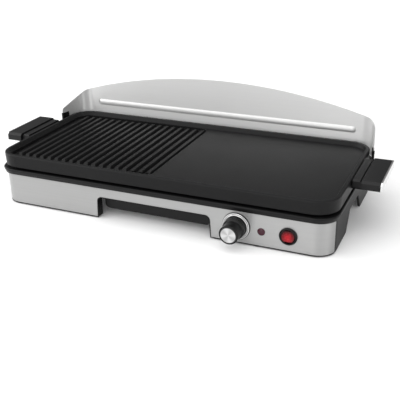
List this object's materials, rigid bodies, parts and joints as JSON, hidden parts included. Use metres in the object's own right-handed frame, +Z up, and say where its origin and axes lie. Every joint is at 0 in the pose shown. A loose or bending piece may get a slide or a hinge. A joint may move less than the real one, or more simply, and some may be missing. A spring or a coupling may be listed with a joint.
{
  "type": "electric griddle",
  "caption": "Table-top electric griddle with a lift-off plate, half ribbed and half flat, two side handles, front drip tray, thermostat knob, lamp, rocker switch and arched steel backsplash.",
  "frame": {"origin": "on the table under the middle of the whole object at rest, knob included", "axes": "+Z up; +X to the right of someone who faces the controls, along the long side; +Y towards the backsplash"},
  "size_m": [0.5572, 0.262, 0.1398],
  "materials": {
    "housing_plastic": "moulded, fine matt texture",
    "frame_plastic": "heat-resistant moulded plastic, satin",
    "fascia_steel": "brushed along its length",
    "backsplash_steel": "fine brushed stainless",
    "nonstick_cast": "black non-stick coating on a die casting",
    "handle_plastic": "satin phenolic",
    "handle_metal": "satin",
    "trim_plastic": "satin black",
    "tray_plastic": "satin black",
    "knob_plastic": "semi-gloss black",
    "knob_metal": "spun",
    "bezel_chrome": "bright",
    "lamp_red": "clear dark red",
    "rocker_red": "translucent red",
    "switch_black": "gloss black",
    "rubber_black": "matt",
    "element_sheath": "heat-darkened sheath",
    "reflector_metal": "bright rolled sheet",
    "pan_metal": "galvanised sheet",
    "fastener_steel": "zinc plated",
    "terminal_brass": "turned",
    "capillary_copper": "drawn copper tube",
    "thermostat_case": "moulded insulating case",
    "terminal_plastic": "white polyamide",
    "wire_insulation": "silicone sleeve"
  },
  "bodies": {
    "base": {"lower_housing": "housing_plastic", "front_fascia": "fascia_steel", "fascia_trim": "trim_plastic", "top_frame": "frame_plastic", "bottom_pan": "pan_metal", "control_box": "housing_plastic", "rubber_feet": "rubber_black", "housing_screws": "fastener_steel", "control_box_screws": "fastener_steel", "heating_element_main": "element_sheath", "heating_element_power_zone": "element_sheath", "heat_reflector": "reflector_metal", "reflector_stays": "fastener_steel", "element_clips": "fastener_steel", "thermostat": "thermostat_case", "thermostat_capillary": "capillary_copper", "sensor_spring": "fastener_steel", "knob_bezel": "bezel_chrome", "lamp_lens": "lamp_red", "lamp_holder": "terminal_plastic", "switch_housing": "switch_black", "terminal_block": "terminal_plastic", "terminal_screws": "terminal_brass", "thermal_fuse": "fastener_steel", "cord_gland": "rubber_black", "internal_wiring": "wire_insulation", "tray_guides": "pan_metal"},
    "plate": {"griddle_plate": "nonstick_cast", "handle_right": "handle_plastic", "handle_left": "handle_plastic", "handle_cap_right": "handle_metal", "handle_cap_left": "handle_metal", "handle_screws": "fastener_steel"},
    "tray": {"drip_tray": "tray_plastic"},
    "knob": {"knob_body": "knob_plastic", "knob_disc": "knob_metal", "thermostat_shaft": "fastener_steel"},
    "rocker": {"switch_rocker": "rocker_red"},
    "backsplash": {"backsplash_panel": "backsplash_steel", "backsplash_foot_right": "trim_plastic", "backsplash_foot_left": "trim_plastic", "backsplash_rivets": "fastener_steel"}
  },
  "joints": [
    {"name": "plate_lift", "type": "slide", "parent": "base", "child": "plate", "axis": [0, 0, 1], "range_m": [0, 0.08]},
    {"name": "backsplash_lift", "type": "slide", "parent": "base", "child": "backsplash", "axis": [0, 0, 1], "range_m": [0, 0.06]},
    {"name": "drip_tray_slide", "type": "slide", "parent": "base", "child": "tray", "axis": [0, -1, 0], "range_m": [0, 0.15]},
    {"name": "knob_turn", "type": "hinge", "parent": "base", "child": "knob", "pos_m": [0.1174, -0.103, 0.0242], "axis": [0, 1, 0], "range_deg": [0, 270]},
    {"name": "rocker_tilt", "type": "hinge", "parent": "base", "child": "rocker", "pos_m": [0.1843, -0.1, 0.0223], "axis": [1, 0, 0], "range_deg": [0, 16]}
  ]
}
